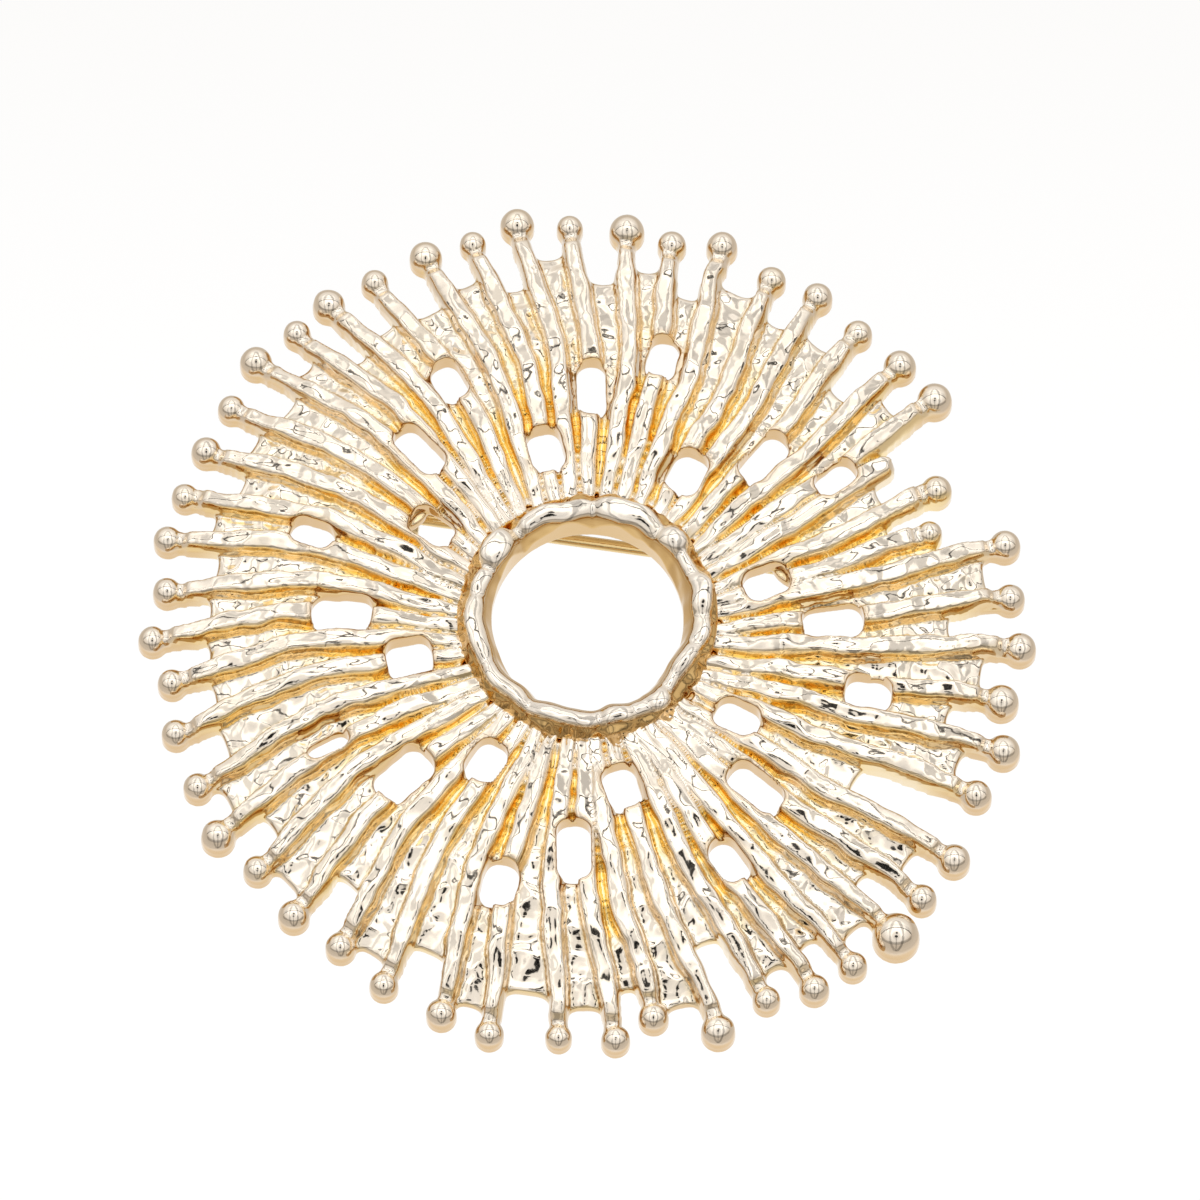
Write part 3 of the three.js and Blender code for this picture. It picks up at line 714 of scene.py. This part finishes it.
VIEW_DROP = math.radians(19.8)     # the camera stands this far below the face's normal
VIEW_ROLL = math.radians(8.5)      # and the object is turned this far clockwise in its picture
VIEW_DISTANCE = 1.0
FRAME_WIDTH = 0.096                # what the picture takes in at that distance
AIM_RIGHT, AIM_UP = 0.0010, 0.00242    # how far the picture's middle is from the object's
SENSOR_WIDTH = 36
TENT_STRENGTH = 1.72
FLOOR_LEVEL, FLOOR_WAVE = -0.5, 0.002

right = Vector((math.cos(VIEW_ROLL), 0, math.sin(VIEW_ROLL)))
upward = Vector((-math.sin(VIEW_ROLL), 0, math.cos(VIEW_ROLL)))
towards = -math.sin(VIEW_DROP) * upward + math.cos(VIEW_DROP) * Vector((0, -1, 0))
picture_up = towards.cross(right)

camera_data = bpy.data.cameras.new("camera")
camera_data.sensor_width = SENSOR_WIDTH
camera_data.lens = SENSOR_WIDTH * VIEW_DISTANCE / FRAME_WIDTH
camera_data.clip_start, camera_data.clip_end = 0.05, 20
camera = bpy.data.objects.new("camera", camera_data)
target = Vector((0, -TIP_LEVEL * MM, 0)) + right * AIM_RIGHT + picture_up * AIM_UP
eye = target + towards * VIEW_DISTANCE
camera.matrix_world = Matrix((
    (right.x, picture_up.x, towards.x, eye.x),
    (right.y, picture_up.y, towards.y, eye.y),
    (right.z, picture_up.z, towards.z, eye.z),
    (0, 0, 0, 1),
))
bpy.context.scene.collection.objects.link(camera)
bpy.context.scene.camera = camera


def studio_world():
    """A white tent, brightest above the lens and dimmer round the sides. Its front half also has grey gaps
    between the panels, a thin dark seam, a dimmer round patch about the lens (stand), the dark lens itself, a
    small dark spot above it (hood) and a dim strip below it (column)."""
    world = bpy.data.worlds.new("tent")
    bpy.context.scene.world = world
    world.use_nodes = True
    tree = world.node_tree
    tree.nodes.clear()
    out = tree.nodes.new("ShaderNodeOutputWorld")
    light = tree.nodes.new("ShaderNodeBackground")
    place = tree.nodes.new("ShaderNodeTexCoord")

    def raised(degrees, turn=0):
        """The direction that many degrees above the lens, then turned to the right."""
        tilt, yaw = math.radians(degrees), math.radians(turn)
        level = math.cos(yaw) * towards + math.sin(yaw) * right
        return math.cos(tilt) * level + math.sin(tilt) * picture_up

    def maths(operation, first, second=None):
        made = tree.nodes.new("ShaderNodeMath")
        made.operation = operation
        for socket, value in zip(made.inputs, (first, second)):
            if isinstance(value, (int, float)):
                socket.default_value = value
            elif value is not None:
                tree.links.new(value, socket)
        return made.outputs["Value"]

    def facing(direction):
        made = tree.nodes.new("ShaderNodeVectorMath")
        made.operation = "DOT_PRODUCT"
        made.inputs[1].default_value = tuple(direction)
        tree.links.new(place.outputs["Generated"], made.inputs[0])
        return made.outputs["Value"]

    def spread(value, from_low, from_high, to_low, to_high):
        limits = {"From Min": from_low, "From Max": from_high, "To Min": to_low, "To Max": to_high}
        made = node_of(tree, "ShaderNodeMapRange", **limits)
        made.interpolation_type = "SMOOTHSTEP"
        tree.links.new(value, made.inputs["Value"])
        return made.outputs["Result"]

    def rings(direction, stops):
        """Brightness by the angle from a direction."""
        made = tree.nodes.new("ShaderNodeValToRGB")
        made.color_ramp.interpolation = "EASE"
        ladder = made.color_ramp.elements
        ladder.remove(ladder[-1])
        for n, (degrees, level) in enumerate(stops):
            stop = ladder[0] if n == 0 else ladder.new(degrees / 180)
            stop.position = degrees / 180
            stop.color = (level, level, level, 1)
        tree.links.new(maths("DIVIDE", maths("ARCCOSINE", facing(direction)), math.pi), made.inputs["Fac"])
        return maths("MULTIPLY", made.outputs["Color"], 1.0)   # the grey as a number

    def band(normal, half_width, feather, level):
        """A strip round the tent in the plane square to the normal."""
        off = maths("ABSOLUTE", facing(normal))
        edge = math.sin(math.radians(half_width))
        return spread(off, edge, edge + math.sin(math.radians(feather)), level, 1)

    def spot(direction, outer, inner, level):
        """A round dimmer place: nothing beyond the outer angle, its full depth within the inner one."""
        rim, heart = math.cos(math.radians(outer)), math.cos(math.radians(inner))
        return spread(facing(direction), rim, heart, 1, level)

    def only_where(share, shade):
        """A shade where the share is 1, and none where it is 0."""
        return maths("SUBTRACT", 1, maths("MULTIPLY", share, maths("SUBTRACT", 1, shade)))

    # degrees from the brightest place, and how bright the tent is there
    panels = rings(raised(36), [
        (0, 1.0), (30, 0.94), (62, 0.54), (92, 0.36), (122, 0.40), (150, 0.62), (180, 0.62),
    ])
    # each gap: the normal of its plane, half its width and its feathered edge in degrees, and its brightness
    gaps = [
        (raised(0, 90 + 34), 4.0, 4.0, 0.5),
        (raised(0, 90 - 30), 3.0, 5.0, 0.6),
        (raised(90 + 58), 4.0, 4.0, 0.8),
        (raised(90 - 38), 4.0, 5.0, 0.55),
        (raised(90 + 43), 1.3, 0.8, 0.04),
    ]
    below = spread(facing(raised(-90)), 0.0, 0.06, 0, 1)
    column = only_where(below, band(right, 1.6, 1.0, 0.4))
    lens = spot(towards, 7.5, 6, 0.02)
    hood = spot(raised(16, 2), 6, 4.5, 0.03)
    stand = spot(raised(4), 26, 12, 0.62)
    shade = maths("MULTIPLY", maths("MULTIPLY", lens, hood), maths("MULTIPLY", column, stand))
    for gap in gaps:
        shade = maths("MULTIPLY", shade, band(*gap))
    front = spread(facing(towards), 0.0, 0.2, 0, 1)
    dimming = only_where(front, shade)
    tint = tree.nodes.new("ShaderNodeMix")
    tint.data_type = "RGBA"
    tint.inputs[MIX_FIRST].default_value = (1.0, 0.91, 0.80, 1)
    tint.inputs[MIX_SECOND].default_value = (1, 1, 1, 1)
    tree.links.new(spread(panels, 0.36, 0.62, 0, 1), tint.inputs["Factor"])
    glow = tree.nodes.new("ShaderNodeVectorMath")
    glow.operation = "SCALE"
    tree.links.new(tint.outputs[MIX_RESULT], glow.inputs[0])
    tree.links.new(maths("MULTIPLY", panels, dimming), glow.inputs["Scale"])
    tree.links.new(glow.outputs["Vector"], light.inputs["Color"])
    light.inputs["Strength"].default_value = TENT_STRENGTH
    tree.links.new(light.outputs["Background"], out.inputs["Surface"])


def studio_floor():
    """A plain pale floor well below the object, with a soft rise and fall so that it isn't a bare plane."""
    side, count = 6.0, 24
    axis = np.linspace(-side / 2, side / 2, count)
    gx, gy = np.meshgrid(axis, axis, indexing="ij")
    gz = FLOOR_LEVEL + FLOOR_WAVE * value_noise(gx + 20, gy + 20, 71)
    vertices = np.stack([gx, gy, gz], 2).reshape(-1, 3)
    faces = [
        (i * count + j, (i + 1) * count + j, (i + 1) * count + j + 1, i * count + j + 1)
        for i in range(count - 1) for j in range(count - 1)
    ]
    mesh = bpy.data.meshes.new("floor")
    mesh.from_pydata(vertices.tolist(), [], faces)
    floor = bpy.data.objects.new("floor", mesh)
    bpy.context.scene.collection.objects.link(floor)
    paint = bpy.data.materials.new("floor_paint")
    paint.use_nodes = True
    shader = paint.node_tree.nodes["Principled BSDF"]
    shader.inputs["Base Color"].default_value = (0.86, 0.86, 0.86, 1)
    shader.inputs["Roughness"].default_value = 0.9
    mesh.materials.append(paint)
    floor.visible_glossy = False   # the plating mirrors the tent alone


studio_world()
studio_floor()
bpy.context.scene.view_settings.view_transform = "Standard"
bpy.context.scene.view_settings.look = "None"
bpy.context.scene.cycles.glossy_bounces = 8
bpy.context.scene.cycles.max_bounces = 14
